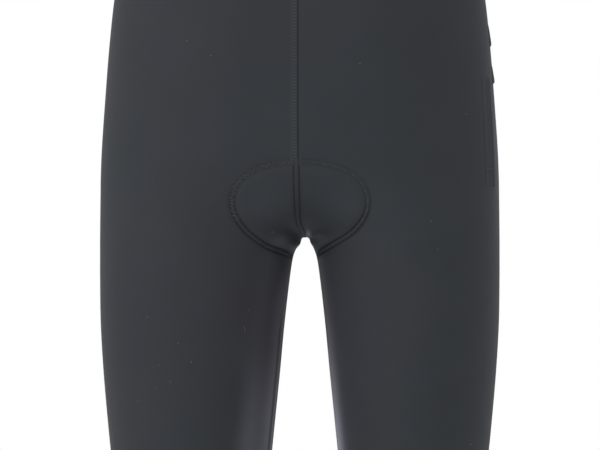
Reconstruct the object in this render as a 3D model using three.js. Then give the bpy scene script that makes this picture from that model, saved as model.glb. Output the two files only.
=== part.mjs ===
// Cycling shorts in their worn shape, open at the waist and at both leg ends, with nobody in them.
// Millimetres, +Z up. The origin is the middle of the waist. The wearer faces -Y, so the wearer's left is +X.
// Four stretch panels meet at centre front, centre back, the sides and the inner legs. They carry a waistband,
// two leg bands, a seat pad inside the crotch, a narrow patch and two small tabs at the wearer's left side.
import * as THREE from "three";

// Driving sizes. A height is counted from the crotch point unless its name ends in Z.
const CROTCH_Z = -272;
const CLOTH = 1.5;
const BAND_CLOTH = 2.4;
const BAND_PROUD = 0.4;
const SEAM_GAP = 0.3;

// The waist is cut lower in front than behind. Each height is that of the band's top edge.
const WAIST_TOP = { front: 245, side: 268, back: 299 };
const WAISTBAND_TALL = 35;
const LEG_END = -240;
const LEG_BAND_TALL = 42;

// The worn form, section by section from the waist down: half width to the outer edge, half of the gap between
// the legs (below zero where both halves run into each other), depth in front of and behind the side line,
// and how widely the two halves are blended into each other.
const FORM = [
  { height: 305, outer: 151, gap: -108, front: 100, back: 92, blend: 12 },
  { height: 268, outer: 154, gap: -106, front: 103, back: 93, blend: 12 },
  { height: 208, outer: 163, gap: -104, front: 108, back: 97, blend: 14 },
  { height: 164, outer: 167.6, gap: -103, front: 110, back: 106, blend: 16 },
  { height: 120, outer: 171, gap: -101, front: 109, back: 117, blend: 26 },
  { height: 76, outer: 174, gap: -84, front: 104, back: 120, blend: 56 },
  { height: 50, outer: 175, gap: -56, front: 98.5, back: 113, blend: 72 },
  { height: 34, outer: 175.2, gap: -35, front: 96, back: 107, blend: 68 },
  { height: 18, outer: 175.4, gap: -13, front: 94, back: 100, blend: 54 },
  { height: 6, outer: 175.5, gap: 2.7, front: 93, back: 95.5, blend: 42 },
  { height: -5, outer: 175.6, gap: 6.3, front: 92.6, back: 93.5, blend: 30 },
  { height: -17, outer: 175.6, gap: 10.3, front: 91.8, back: 90.6, blend: 26 },
  { height: -34, outer: 175.6, gap: 13.1, front: 91, back: 88, blend: 26 },
  { height: -76, outer: 175, gap: 18, front: 90, back: 84, blend: 26 },
  { height: -118, outer: 172.6, gap: 22, front: 87, back: 79, blend: 26 },
  { height: -160, outer: 169, gap: 26.3, front: 83, back: 74, blend: 26 },
  { height: -200, outer: 165, gap: 30.4, front: 79, back: 70, blend: 26 },
  { height: -250, outer: 159.5, gap: 35.5, front: 74, back: 66, blend: 26 },
];
const SIDE_TURN = 45; // over this distance about the side line the front depth gives way to the back depth
const SEAT_VALLEY = { deep: 10, wide: 30, height: 84, tall: 50 }; // the hollow along the centre back seam
// Beside the crotch point the inner edges of the legs step in and out a little.
const KEYHOLE = [
  { side: -1, height: -7.5, tall: 3.2, shift: -1.5 },
  { side: 1, height: -2.4, tall: 2.6, shift: 1 },
];
const KEYHOLE_WIDE = 13;
const SWAY = { aside: 4.75, fadeOut: 60, seamFrom: 50 }; // the gap between the legs sits to the wearer's left

// How the panels are gridded. Every section runs out from one upright axis in the middle of each half.
const AXIS_X = 92;
const COLUMNS = 20; // cells from a centre seam to the side seam
const COLUMN_EASE = 0.35; // above 0 the columns lie closer together near the centre seam and inner leg
const HIP_ROWS = 7; // from the waistband down to the pivot
const CROTCH_ROWS = 9; // fanned about the pivot, down to the crotch point
const LEG_ROWS = 12; // from the crotch point to the leg band
const PIVOT = 95;
const ROOT_SIDE = 25; // where the section through the crotch point meets the side seam
const LEG_ROW_EASE = 1.7; // above 1 the rows lie closer together near the crotch
const BAND_ROWS = 2;
const STRIDE = { least: 0.4, most: 6, share: 0.6 }; // the share is of the depth below the surface

// The seat pad, section by section round the crotch. The angle turns about the pivot, from straight ahead,
// through straight down at 90, to straight back at 180. The half width is measured along the cloth.
const PAD = [
  { angle: 17, half: 12, thick: 1.6 },
  { angle: 19, half: 32.5, thick: 2.4 },
  { angle: 23, half: 46, thick: 3.4 },
  { angle: 29, half: 56, thick: 4.2 },
  { angle: 37, half: 59, thick: 5 },
  { angle: 46, half: 51.5, thick: 5.6 },
  { angle: 55, half: 41, thick: 6 },
  { angle: 64, half: 33, thick: 6.4 },
  { angle: 76, half: 25.5, thick: 6.8 },
  { angle: 90, half: 22, thick: 7.2 },
  { angle: 104, half: 28, thick: 7.6 },
  { angle: 118, half: 44, thick: 8 },
  { angle: 131, half: 62, thick: 8 },
  { angle: 144, half: 77, thick: 7.6 },
  { angle: 156, half: 84, thick: 6.6 },
  { angle: 166, half: 78, thick: 5 },
  { angle: 173, half: 60, thick: 3.4 },
  { angle: 177, half: 34, thick: 2 },
];
const PAD_ASIDE = { shift: 2.75, full: 60, none: 85 }; // the front of the pad lies to the wearer's left
const PAD_ROWS = 30;
const PAD_ACROSS = 9; // cells from the middle of the pad to its edge
const PAD_EDGE = 1.2;
const PAD_CLEAR = 1.7; // room for the panels' flat facets

// The patch and the two tabs, on the wearer's left. Angles turn about the axis, from the side (0) to the front.
const PATCH = { low: 43, high: 138, front: -33.5, rear: -21.5, thick: 1, columns: 4, rows: 10 };
const TABS = [
  { name: "side_tab_upper", low: 166, high: 185, front: -7, rear: 5, thick: 1.7 },
  { name: "side_tab_lower", low: 133.5, high: 149, front: -8, rear: 4, thick: 1.9 },
];
const TAB_EDGE = 0.5;
const TAB_CELLS = 3;
const ON_TOP_GAP = 0.3;

const CLOTH_LOOK = { color: 0x2f3236, roughness: 0.62, metalness: 0 };
const BAND_LOOK = { color: 0x25272b, roughness: 0.75, metalness: 0 };
const PAD_LOOK = { color: 0x3a3d44, roughness: 0.9, metalness: 0 };
const PATCH_LOOK = { color: 0x3b3e43, roughness: 0.55, metalness: 0 };

const RADIANS = Math.PI / 180;

function mix(from, to, share) {
  return from + (to - from) * share;
}

// A column of a table at any value of its key column, as a smooth curve through the table's rows.
function curveAt(table, key, value, column) {
  const last = table.length - 1;
  const turned = Math.sign(table[last][key] - table[0][key]);
  let i = 0;
  while (i < last - 1 && (value - table[i + 1][key]) * turned > 0) i += 1;
  const slope = (k) => {
    const before = table[Math.max(k - 1, 0)];
    const after = table[Math.min(k + 1, last)];
    return (after[column] - before[column]) / (after[key] - before[key]);
  };
  const span = table[i + 1][key] - table[i][key];
  const t = THREE.MathUtils.clamp((value - table[i][key]) / span, 0, 1);
  const rise = t * t * (3 - 2 * t);
  return (
    mix(table[i][column], table[i + 1][column], rise) +
    span * t * (1 - t) * ((1 - t) * slope(i) - t * slope(i + 1))
  );
}

function formAt(column, height) {
  return curveAt(FORM, "height", height, column);
}

// How far the inner edge of one half stands further from the middle, close to the crotch point.
function keyholeShift(side, x, height) {
  const steps = KEYHOLE.filter((step) => step.side === side);
  const shift = (step) => step.shift * Math.exp(-(((height - step.height) / step.tall) ** 2));
  return steps.reduce((sum, step) => sum + shift(step), 0) * Math.exp(-((x / KEYHOLE_WIDE) ** 2));
}

// Signed distance, along a ray from the leg's middle, to the outline of one half: below zero inside.
function halfForm(side, x, y, height) {
  const outer = formAt("outer", height);
  const gap = formAt("gap", height);
  const half = (outer - gap) / 2;
  const away = x - side * ((outer + gap) / 2 + keyholeShift(side, x, height));
  const along = (height - SEAT_VALLEY.height) / SEAT_VALLEY.tall;
  const valley = SEAT_VALLEY.deep * Math.exp(-((x / SEAT_VALLEY.wide) ** 2) - along ** 2);
  const backward = 0.5 + 0.5 * Math.tanh(y / SIDE_TURN);
  const depth = mix(formAt("front", height), formAt("back", height) - valley, backward);
  const reach = Math.max(Math.hypot(away / half, y / depth), 1e-6);
  return Math.hypot(away, y) * (1 - 1 / reach);
}

// The whole worn form: both halves, blended where they meet, with the middle swayed aside near the crotch.
function wornForm(p) {
  const height = p.z;
  const outer = formAt("outer", height);
  const fade = THREE.MathUtils.smoothstep(SWAY.fadeOut - height, 0, SWAY.fadeOut);
  const inside = Math.max(1 - (p.x / outer) ** 2, 0);
  const x = p.x - SWAY.aside * fade * inside;
  const left = halfForm(1, x, p.y, height);
  const right = halfForm(-1, x, p.y, height);
  const blend = formAt("blend", height);
  const closeness = Math.max(blend - Math.abs(left - right), 0) / blend;
  return Math.min(left, right) - (blend * closeness ** 3) / 6;
}

function normalAt(p) {
  const step = 0.4;
  const slope = (axis) => {
    const ahead = p.clone().setComponent(axis, p.getComponent(axis) + step);
    const behind = p.clone().setComponent(axis, p.getComponent(axis) - step);
    return wornForm(ahead) - wornForm(behind);
  };
  return new THREE.Vector3(slope(0), slope(1), slope(2)).normalize();
}

// Where a ray from inside the form first leaves it. The stride shortens close to the surface.
function cast(from, direction) {
  const at = (distance) => from.clone().addScaledVector(direction, distance);
  let near = 0;
  let far = STRIDE.least;
  for (let depth = -wornForm(at(far)); depth > 0; depth = -wornForm(at(far))) {
    near = far;
    far += THREE.MathUtils.clamp(STRIDE.share * depth, STRIDE.least, STRIDE.most);
  }
  for (let k = 0; k < 24; k += 1) {
    const middle = (near + far) / 2;
    if (wornForm(at(middle)) < 0) near = middle;
    else far = middle;
  }
  return at((near + far) / 2);
}

// A point of the centre seam: facing -1 is in front and 1 behind; tilt turns the ray down from level.
function centrePoint(facing, height, tilt = 0) {
  const aside = SWAY.aside * THREE.MathUtils.smoothstep(tilt, SWAY.seamFrom * RADIANS, Math.PI / 2);
  const direction = new THREE.Vector3(0, facing * Math.cos(tilt), -Math.sin(tilt));
  return cast(new THREE.Vector3(aside, 0, height), direction);
}

// One section of a half: the height where it meets the side, and its end points on the centre seam or inner leg.
function waistSection(share) {
  return {
    level: true,
    side: WAIST_TOP.side - WAISTBAND_TALL * share,
    front: centrePoint(-1, WAIST_TOP.front - WAISTBAND_TALL * share),
    back: centrePoint(1, WAIST_TOP.back - WAISTBAND_TALL * share),
  };
}

function hipSection(share) {
  const down = (edge) => mix(edge - WAISTBAND_TALL, PIVOT, share);
  return {
    level: true,
    side: down(WAIST_TOP.side),
    front: centrePoint(-1, down(WAIST_TOP.front)),
    back: centrePoint(1, down(WAIST_TOP.back)),
  };
}

function crotchSection(share) {
  const tilt = (share * Math.PI) / 2;
  return {
    side: mix(PIVOT, ROOT_SIDE, share),
    front: centrePoint(-1, PIVOT, tilt),
    back: centrePoint(1, PIVOT, tilt),
  };
}

function legSection(share) {
  const bandTop = LEG_END + LEG_BAND_TALL;
  return { side: mix(ROOT_SIDE, bandTop, share), inner: bandTop * share ** LEG_ROW_EASE };
}

function legBandSection(share) {
  const height = LEG_END + LEG_BAND_TALL * (1 - share);
  return { side: height, inner: height };
}

// The points of a section on one side, from its front end round the outside to its back end.
function sectionPoints(section, side) {
  const axis = new THREE.Vector3(side * AXIS_X, 0, section.side);
  const end = (point) => {
    const away = Math.hypot(point.x - axis.x, point.y);
    const turn = Math.atan2(Math.abs(point.y), side * (point.x - axis.x));
    const rise = point.z - section.side;
    return section.level ? { turn, lift: rise, slope: 0 } : { turn, lift: 0, slope: rise / away };
  };
  const innerLeg = () => ({ turn: Math.PI, lift: 0, slope: (section.inner - section.side) / AXIS_X });
  const front = section.front ? end(section.front) : innerLeg();
  const back = section.back ? end(section.back) : innerLeg();
  const points = [];
  for (let k = 0; k <= 2 * COLUMNS; k += 1) {
    const share = k / COLUMNS - 1; // -1 at the front end, 0 at the side seam, 1 at the back end
    const near = share < 0 ? front : back;
    const turn = near.turn * share * (1 + COLUMN_EASE * (1 - Math.abs(share)));
    const toEnd = Math.sin((share * Math.PI) / 2) ** 2;
    const direction = new THREE.Vector3(side * Math.cos(turn), Math.sin(turn), near.slope * toEnd);
    axis.z = section.side + near.lift * toEnd;
    points.push(cast(axis, direction.normalize()));
  }
  if (section.front) points[0] = section.front;
  if (section.back) points[2 * COLUMNS] = section.back;
  return points;
}

function shares(count) {
  return Array.from({ length: count + 1 }, (_, k) => k / count);
}

// Points on the grid's border move in by half a seam gap, so that neighbouring pieces stay clear of each other.
function insetBorder(grid, closed) {
  const lastRow = grid.length - 1;
  const lastColumn = grid[0].length - 1;
  const at = (i, k) => grid[i][closed ? (k + grid[0].length) % grid[0].length : k];
  // The way off one border edge, square to it and along the cloth, on the side of the point within.
  const off = (p, q, within) => {
    const edge = q.clone().sub(p).normalize();
    const inward = within.clone().sub(p);
    return inward.addScaledVector(edge, -inward.dot(edge)).normalize();
  };
  const shifted = (p, ways) => {
    const [one, two] = ways.length > 1 ? ways : [ways[0], ways[0]];
    const sum = one.clone().add(two);
    return p.clone().addScaledVector(sum, SEAM_GAP / 2 / (1 + one.dot(two)));
  };
  return grid.map((row, i) =>
    row.map((p, k) => {
      let inset = p.clone();
      if (!closed && (k === 0 || k === lastColumn)) {
        const within = at(i, k === 0 ? 1 : lastColumn - 1);
        const beside = [i - 1, i + 1].filter((r) => r >= 0 && r <= lastRow);
        inset = shifted(inset, beside.map((r) => off(p, at(r, k), within)));
      }
      if (i === 0 || i === lastRow) {
        const within = at(i === 0 ? 1 : lastRow - 1, k);
        const beside = closed ? [k - 1, k + 1] : [k - 1, k + 1].filter((c) => c >= 0 && c <= lastColumn);
        inset = shifted(inset, beside.map((c) => off(p, at(i, c), within)));
      }
      return inset;
    }),
  );
}

// A closed wall between two grids of points. A closed grid runs round and joins its last column to its first.
function wallBetween(outer, inner, closed = false) {
  const rows = outer.length;
  const columns = outer[0].length;
  const corners = [outer, inner].flatMap((grid) => grid.flat());
  const corner = (layer, i, k) => layer * rows * columns + i * columns + (k % columns);
  const faces = [];
  const quad = (a, b, c, d) => faces.push(a, b, c, a, c, d);
  const lastCell = closed ? columns : columns - 1;
  for (let i = 0; i < rows - 1; i += 1) {
    for (let k = 0; k < lastCell; k += 1) {
      quad(corner(0, i, k), corner(0, i + 1, k), corner(0, i + 1, k + 1), corner(0, i, k + 1));
      quad(corner(1, i, k), corner(1, i, k + 1), corner(1, i + 1, k + 1), corner(1, i + 1, k));
    }
  }
  for (let k = 0; k < lastCell; k += 1) {
    quad(corner(0, 0, k), corner(0, 0, k + 1), corner(1, 0, k + 1), corner(1, 0, k));
    const end = rows - 1;
    quad(corner(0, end, k + 1), corner(0, end, k), corner(1, end, k), corner(1, end, k + 1));
  }
  for (let i = 0; i < rows - 1 && !closed; i += 1) {
    quad(corner(0, i + 1, 0), corner(0, i, 0), corner(1, i, 0), corner(1, i + 1, 0));
    const end = columns - 1;
    quad(corner(0, i, end), corner(0, i + 1, end), corner(1, i + 1, end), corner(1, i, end));
  }
  if (signedVolume(corners, faces) < 0) faces.reverse();
  const geometry = new THREE.BufferGeometry();
  geometry.setAttribute(
    "position",
    new THREE.Float32BufferAttribute(corners.flatMap((p) => [p.x, p.y, p.z + CROTCH_Z]), 3),
  );
  geometry.setIndex(faces);
  geometry.computeVertexNormals();
  return geometry;
}

function signedVolume(corners, faces) {
  let volume = 0;
  for (let f = 0; f < faces.length; f += 3) {
    const [a, b, c] = [corners[faces[f]], corners[faces[f + 1]], corners[faces[f + 2]]];
    volume += a.dot(b.clone().cross(c)) / 6;
  }
  return volume;
}

// Moves every point of a grid along the form's normal; out may be a number or a function of row and column.
function moved(grid, out) {
  return grid.map((row, i) =>
    row.map((p, k) => {
      const distance = typeof out === "function" ? out(i, k) : out;
      return p.clone().addScaledVector(normalAt(p), distance);
    }),
  );
}

function clothPiece(grid, { thick = CLOTH, proud = 0, closed = false } = {}) {
  const edged = insetBorder(grid, closed);
  return wallBetween(moved(edged, proud), moved(edged, proud - thick), closed);
}

function panelSections() {
  return [
    ...shares(HIP_ROWS).map(hipSection),
    ...shares(CROTCH_ROWS).slice(1).map(crotchSection),
    ...shares(LEG_ROWS).slice(1).map(legSection),
  ];
}

function panels(side, sections) {
  const whole = sections.map((section) => sectionPoints(section, side));
  return {
    front: clothPiece(whole.map((row) => row.slice(0, COLUMNS + 1))),
    back: clothPiece(whole.map((row) => row.slice(COLUMNS))),
  };
}

function waistband() {
  const loop = (section) => {
    const left = sectionPoints(section, 1);
    const right = sectionPoints(section, -1).reverse();
    return [...left, ...right.slice(1, -1)];
  };
  const grid = shares(BAND_ROWS).map((share) => loop(waistSection(share)));
  return clothPiece(grid, { thick: BAND_CLOTH, proud: BAND_PROUD, closed: true });
}

function legBand(side) {
  const loop = (section) => sectionPoints(section, side).slice(0, -1);
  const grid = shares(BAND_ROWS).map((share) => loop(legBandSection(share)));
  return clothPiece(grid, { thick: BAND_CLOTH, proud: BAND_PROUD, closed: true });
}

// Walks along the form, square to the centre seam, and returns the points passed on the way.
function walkAcross(start, seamDirection, side, distance, steps) {
  const substeps = 4;
  const stride = distance / (steps * substeps);
  const points = [start];
  const p = start.clone();
  for (let k = 1; k <= steps * substeps; k += 1) {
    const normal = normalAt(p);
    const ahead = new THREE.Vector3().crossVectors(normal, seamDirection).normalize();
    if (k === 1 && ahead.x * side < 0) seamDirection = seamDirection.clone().negate();
    const across = new THREE.Vector3().crossVectors(normal, seamDirection).normalize();
    p.addScaledVector(across, stride);
    p.addScaledVector(normalAt(p), -wornForm(p));
    if (k % substeps === 0) points.push(p.clone());
  }
  return points;
}

function padPoint(angle) {
  const forward = angle <= 90;
  return centrePoint(forward ? -1 : 1, PIVOT, (forward ? angle : 180 - angle) * RADIANS);
}

function seatPad() {
  const rows = shares(PAD_ROWS).map((share) => mix(PAD[0].angle, PAD[PAD.length - 1].angle, share));
  const padAt = (angle, column) => curveAt(PAD, "angle", angle, column);
  const grid = rows.map((angle) => {
    const start = padPoint(angle);
    const half = padAt(angle, "half");
    const along = padPoint(angle + 0.5).sub(padPoint(angle - 0.5)).normalize();
    const fade = THREE.MathUtils.smoothstep(angle, PAD_ASIDE.full, PAD_ASIDE.none);
    const aside = PAD_ASIDE.shift * (1 - fade);
    const arm = (side) => walkAcross(start, along, side, half + side * aside, PAD_ACROSS);
    return [...arm(-1).reverse(), ...arm(1).slice(1)];
  });
  const thickness = (i, k) => {
    const fromMiddle = Math.abs(k - PAD_ACROSS) / PAD_ACROSS;
    return mix(PAD_EDGE, padAt(rows[i], "thick"), 1 - fromMiddle ** 4);
  };
  const under = CLOTH + PAD_CLEAR;
  return wallBetween(
    moved(grid, -under),
    moved(grid, (i, k) => -under - thickness(i, k)),
  );
}

// A small piece lying on the left side of the form, between two heights and two angles about the axis.
function onLeftSide({ low, high, front, rear, columns, rows }, thickness) {
  const grid = shares(rows).map((down) =>
    shares(columns).map((back) => {
      const turn = mix(front, rear, back) * RADIANS;
      const axis = new THREE.Vector3(AXIS_X, 0, mix(high, low, down));
      return cast(axis, new THREE.Vector3(Math.cos(turn), Math.sin(turn), 0));
    }),
  );
  const lowest = moved(grid, ON_TOP_GAP);
  return wallBetween(
    moved(grid, (i, k) => ON_TOP_GAP + thickness(i / rows, k / columns)),
    lowest,
  );
}

function sidePatch() {
  return onLeftSide(PATCH, () => PATCH.thick);
}

// A tab lies flat where it is sewn in, at its top, and lifts towards its lower edge.
function sideTab(tab) {
  const sized = { ...tab, columns: TAB_CELLS, rows: TAB_CELLS };
  return onLeftSide(sized, (down) => mix(TAB_EDGE, tab.thick, down));
}

const shorts = new THREE.Group();
function add(name, geometry, look) {
  const mesh = new THREE.Mesh(geometry, new THREE.MeshStandardMaterial(look));
  mesh.name = name;
  shorts.add(mesh);
}

const sections = panelSections();
for (const [word, side] of [["left", 1], ["right", -1]]) {
  const pair = panels(side, sections);
  add(`front_${word}`, pair.front, CLOTH_LOOK);
  add(`back_${word}`, pair.back, CLOTH_LOOK);
  add(`leg_band_${word}`, legBand(side), BAND_LOOK);
}
add("waistband", waistband(), BAND_LOOK);
add("seat_pad", seatPad(), PAD_LOOK);
add("side_patch", sidePatch(), PATCH_LOOK);
for (const tab of TABS) add(tab.name, sideTab(tab), PATCH_LOOK);

export default shorts;
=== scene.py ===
"""Looks of a pair of cycling shorts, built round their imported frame.

The cloth pieces are fine shells on the same worn form as the solids, with soft relief where the seams
and the seat pad press through. The sewing is laid on top of them with Geometry Nodes.
Sizes inside the form are in millimetres, and heights are counted from the crotch point.
"""

import math
from functools import cache
from typing import NamedTuple

import bpy
import numpy as np
from bpy.props import FloatProperty, FloatVectorProperty, IntProperty, PointerProperty
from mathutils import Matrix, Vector


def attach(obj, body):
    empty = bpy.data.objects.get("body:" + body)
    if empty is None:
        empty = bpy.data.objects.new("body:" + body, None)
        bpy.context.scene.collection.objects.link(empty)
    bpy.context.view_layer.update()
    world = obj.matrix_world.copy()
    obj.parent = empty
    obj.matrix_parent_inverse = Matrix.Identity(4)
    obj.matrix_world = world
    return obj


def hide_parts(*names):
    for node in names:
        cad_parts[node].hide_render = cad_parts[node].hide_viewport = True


bl_info = {
    "name": "Cycling Shorts Looks",
    "version": (1, 0, 0),
    "blender": (4, 5, 0),
    "location": "View3D > Sidebar > Shorts",
    "description": "Builds the cloth, sewing, pad and studio of a pair of cycling shorts",
    "category": "Object",
}

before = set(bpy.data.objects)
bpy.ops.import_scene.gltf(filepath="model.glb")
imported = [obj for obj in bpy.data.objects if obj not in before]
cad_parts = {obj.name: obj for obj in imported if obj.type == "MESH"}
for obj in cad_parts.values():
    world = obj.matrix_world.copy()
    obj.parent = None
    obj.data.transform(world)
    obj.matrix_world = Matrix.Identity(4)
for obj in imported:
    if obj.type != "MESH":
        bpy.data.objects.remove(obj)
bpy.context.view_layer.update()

MM = 0.001
CROTCH_Z = -272.0
LEFT, RIGHT = 1, -1


class Section(NamedTuple):
    """One level of the worn form."""

    height: float
    outer: float
    gap: float
    front: float
    back: float
    blend: float


class Step(NamedTuple):
    """A small step of an inner edge beside the crotch point; side is 1 for the left half."""

    side: int
    height: float
    tall: float
    shift: float


class Rib(NamedTuple):
    """One section of the seat pad, at an angle about the pivot: 0 ahead, 90 down, 180 back."""

    angle: float
    half: float
    thick: float


class Crease(NamedTuple):
    """A soft upright trough in the front's cloth, or a ridge where deep is below zero."""

    x: float
    lean: float
    high: float
    low: float
    wide: float
    deep: float


class Gleam(NamedTuple):
    """A painted highlight on the front: a soft spot of lighter colour where the stretched cloth catches the
    light.
    """

    x: float
    height: float
    wide: float
    tall: float
    gain: float


class Lint(NamedTuple):
    """A speck or short hair on the front: its middle, its length and how it is turned."""

    x: float
    height: float
    length: float
    turn: float


FORM = (
    Section(305, 151, -108, 100, 92, 12),
    Section(268, 154, -106, 103, 93, 12),
    Section(208, 163, -104, 108, 97, 14),
    Section(164, 167.6, -103, 110, 106, 16),
    Section(120, 171, -101, 109, 117, 26),
    Section(76, 174, -84, 104, 120, 56),
    Section(50, 175, -56, 98.5, 113, 72),
    Section(34, 175.2, -35, 96, 107, 68),
    Section(18, 175.4, -13, 94, 100, 54),
    Section(6, 175.5, 2.7, 93, 95.5, 42),
    Section(-5, 175.6, 6.3, 92.6, 93.5, 30),
    Section(-17, 175.6, 10.3, 91.8, 90.6, 26),
    Section(-34, 175.6, 13.1, 91, 88, 26),
    Section(-76, 175, 18, 90, 84, 26),
    Section(-118, 172.6, 22, 87, 79, 26),
    Section(-160, 169, 26.3, 83, 74, 26),
    Section(-200, 165, 30.4, 79, 70, 26),
    Section(-250, 159.5, 35.5, 74, 66, 26),
)
KEYHOLE = (
    Step(-1, -7.5, 3.2, -1.5),
    Step(1, -2.4, 2.6, 1.0),
)
KEYHOLE_WIDE = 13.0
SIDE_TURN = 45.0
VALLEY_DEEP, VALLEY_WIDE, VALLEY_HEIGHT, VALLEY_TALL = 10.0, 30.0, 84.0, 50.0
SWAY_ASIDE, SWAY_FADE, SWAY_SEAM_FROM = 4.75, 60.0, 50.0

WAIST_FRONT, WAIST_SIDE, WAIST_BACK = 245.0, 268.0, 299.0
WAISTBAND_TALL = 35.0
LEG_END = -240.0
LEG_BAND_TALL = 42.0
AXIS_X = 92.0
COLUMN_EASE = 0.35
PIVOT = 95.0
ROOT_SIDE = 25.0
LEG_ROW_EASE = 1.7
STRIDE_LEAST, STRIDE_MOST, STRIDE_SHARE = 0.4, 6.0, 0.6
STRIDES_MOST, HALVINGS = 600, 22
SLOPE_STEP = 0.4
SEWN_GAP = 0.05
FLOOR_REACH, FLOOR_Z, FLOOR_SIDES = 2.2, -0.64, 96
KEY_PLACE, KEY_SIZE, SENSOR = (-2.6, -1.5, 1.0), 1.4, 36
RIBBON_STEPS, RIBBON_THICK = 21, 0.5
PANEL_COLUMNS, PANEL_CLOSER, BAND_COLUMNS = 90, 0.4, 64
HIP_ROWS, CROTCH_ROWS, LEG_ROWS, BAND_ROWS = 36, 80, 90, 12
BAND_SEWN, EDGE_AT, FINE_TO, FUZZY_TO, FEW_FROM = (3.0, 6.5), 2.0, 14.0, -3.0, 6.0
SEAM_SPACING, OUTLINE_SPACING, MARK_SPACING = 1.5, 1.2, 1.0

PAD = (
    Rib(17, 12, 1.6),
    Rib(19, 32.5, 2.4),
    Rib(23, 46, 3.4),
    Rib(29, 56, 4.2),
    Rib(37, 59, 5),
    Rib(46, 51.5, 5.6),
    Rib(55, 41, 6),
    Rib(64, 33, 6.4),
    Rib(76, 25.5, 6.8),
    Rib(90, 22, 7.2),
    Rib(104, 28, 7.6),
    Rib(118, 44, 8),
    Rib(131, 62, 8),
    Rib(144, 77, 7.6),
    Rib(156, 84, 6.6),
    Rib(166, 78, 5),
    Rib(173, 60, 3.4),
    Rib(177, 34, 2),
)
PAD_ASIDE, PAD_ASIDE_FULL, PAD_ASIDE_NONE = 2.75, 60.0, 85.0
PAD_CLEAR = 1.7
PAD_ROWS, PAD_STEPS, PAD_EDGE_THICK = 90, 22, 1.2
PAD_LANE_DEEP, PAD_LANE_WIDE, PAD_LANE_ANGLES = 2.2, 7.0, (40, 60, 150, 168)
PAD_SEAM_DEEP, PAD_SEAM_AT, PAD_SEAM_WIDE, PAD_SEAM_HALF = 1.1, 0.62, 2.5, 30.0
OUTLINE_ROWS, OUTLINE_STEPS, OUTLINE_ROUNDS = 150, 10, 6
MARK_ASIDE, MARK_LOW, MARK_HIGH, MARK_FAR, MARK_BATCH = 120.0, -70.0, 150.0, -60.0, 2500
PULL_FULL, PULL_NONE, PULL_BEHIND, PULL_LEAST = 8.0, 52.0, 0.35, 0.25
PULL_LEFT, PULL_LEFT_FROM, PULL_LEFT_TO = 0.2, 10.0, 40.0
SWELL_FROM, SWELL_TO, SWELL_DROP = 6.0, 26.0, 6.0
PAD_SWELL_REACH, PAD_TROUGH_WIDE, SEAM_TROUGH_WIDE = 9.0, 2.6, 2.2
CREASE_FADE = 30.0

PATCH_WIDE, PATCH_ROWS, PATCH_COLUMNS = 17.8, 60, 24
PATCH_FLAT, PATCH_STEP, PATCH_RISE, TACK_HEIGHT = 0.06, 0.03, 0.9, 15.0
# The patch's colour factor, and the painted shadow along its rear edge
PATCH_SHADE, PATCH_REAR_PAINTED_SHADOW = 1.01, 0.8
# The tabs are painted lighter, a painted highlight standing in for the rim light at the side
TAB_ROWS, TAB_COLUMNS, TAB_EDGE, TAB_LIFT, TAB_THIN, TAB_PAINTED_LIGHT = 14, 12, 0.2, 0.25, 0.2, 2.0
PATCH_LOW, PATCH_HIGH, PATCH_FRONT, PATCH_REAR = 43.0, 138.0, -33.5, -21.5
TABS = {
    "side_tab_upper": {"low": 166.0, "high": 185.0, "front": -7.0, "rear": 5.0, "thick": 1.7},
    "side_tab_lower": {"low": 133.5, "high": 149.0, "front": -8.0, "rear": 4.0, "thick": 1.9},
}

CREASES = (
    Crease(-63, 0.0, -70, -230, 15, 0.8),
    Crease(-36, 0.05, -80, -230, 13, -0.8),
)

# Painted highlights on the front, each a lighter spot in the cloth's colour
GLEAMS = (
    Gleam(-14.0, -4.0, 9.0, 6.0, 1.0),
    Gleam(-4.5, -10.0, 4.5, 4.0, 0.8),
    Gleam(7.3, 2.2, 2.8, 3.2, 6.5),
    Gleam(-24.0, 24.0, 24.0, 22.0, 0.27),
    Gleam(26.0, 24.0, 22.0, 20.0, 0.1),
    Gleam(16.0, -2.0, 8.0, 6.0, 1.6),
    Gleam(173.5, 88.0, 4.0, 50.0, 0.9),
)

LINT = (
    Lint(-128, -69, 1.0, 20),
    Lint(-101, -91, 0.9, 70),
    Lint(-90, -107, 1.2, 130),
    Lint(-118, -110, 0.8, 10),
    Lint(-108, -124, 1.1, 60),
    Lint(-121, -130, 0.9, 150),
    Lint(-137, -142, 1.0, 40),
    Lint(-42, -63, 1.1, 100),
    Lint(-93, 166, 1.0, 30),
    Lint(-72, 153, 0.9, 80),
    Lint(54, 146, 0.9, 20),
    Lint(144.5, 105, 1.1, 110),
    Lint(-22, 4, 0.9, 45),
    Lint(114, 13, 1.0, 160),
    Lint(120, -11, 0.9, 75),
    Lint(149, -179, 1.0, 15),
    Lint(-46, -80, 8.5, -83),
)
LINT_STEPS, LINT_SIDES, LINT_BEND, LINT_RADIUS, LINT_SHORT, LINT_LIFT = 5, 4, 0.12, 0.16, 3.5, 0.15


# The worn form


class TableCurve:
    """Smooth curves through the columns of a table, each read against its first column."""

    def __init__(self, table):
        data = np.array(sorted(table), float)
        key = data[:, 0]
        slope = np.empty_like(data)
        slope[1:-1] = (data[2:] - data[:-2]) / (key[2:] - key[:-2])[:, None]
        slope[0] = (data[1] - data[0]) / (key[1] - key[0])
        slope[-1] = (data[-1] - data[-2]) / (key[-1] - key[-2])
        self.key, self.data, self.slope = key, data, slope

    def at(self, value):
        value = np.asarray(value, float)
        i = np.clip(np.searchsorted(self.key, value, side="right") - 1, 0, len(self.key) - 2)
        span = (self.key[i + 1] - self.key[i])[..., None]
        t = np.clip((value - self.key[i])[..., None] / span, 0, 1)
        rise = t * t * (3 - 2 * t)
        bend = span * t * (1 - t) * ((1 - t) * self.slope[i] - t * self.slope[i + 1])
        made = self.data[i] + (self.data[i + 1] - self.data[i]) * rise + bend
        return np.moveaxis(made[..., 1:], -1, 0)


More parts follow.
